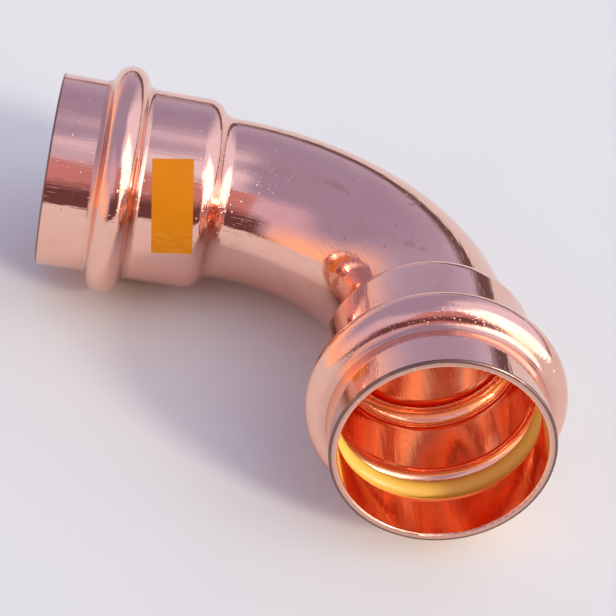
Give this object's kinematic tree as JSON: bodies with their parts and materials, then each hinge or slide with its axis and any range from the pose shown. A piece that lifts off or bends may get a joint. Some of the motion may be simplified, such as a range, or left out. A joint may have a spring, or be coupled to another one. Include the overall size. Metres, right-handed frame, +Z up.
{
  "type": "copper press elbow",
  "caption": "Copper 90 degree elbow with a beaded press socket and a yellow seal ring at each end, for joining gas pipes by pressing.",
  "frame": {"origin": "on the surface that the elbow lies on, under the middle of its outline", "axes": "+Z up; the left socket's mouth faces -X and the front socket's mouth faces -Y, both turned about 10 degrees upwards because the elbow rests on its two beads and on the outside of its bend"},
  "size_m": [0.08, 0.08, 0.0363],
  "materials": {
    "copper": "bright drawn copper",
    "seal": "smooth yellow rubber",
    "label": "orange-yellow adhesive label"
  },
  "bodies": {
    "root": {"elbow_body": "copper", "o_ring_left": "seal", "o_ring_front": "seal", "sleeve_label": "label"}
  },
  "joints": []
}
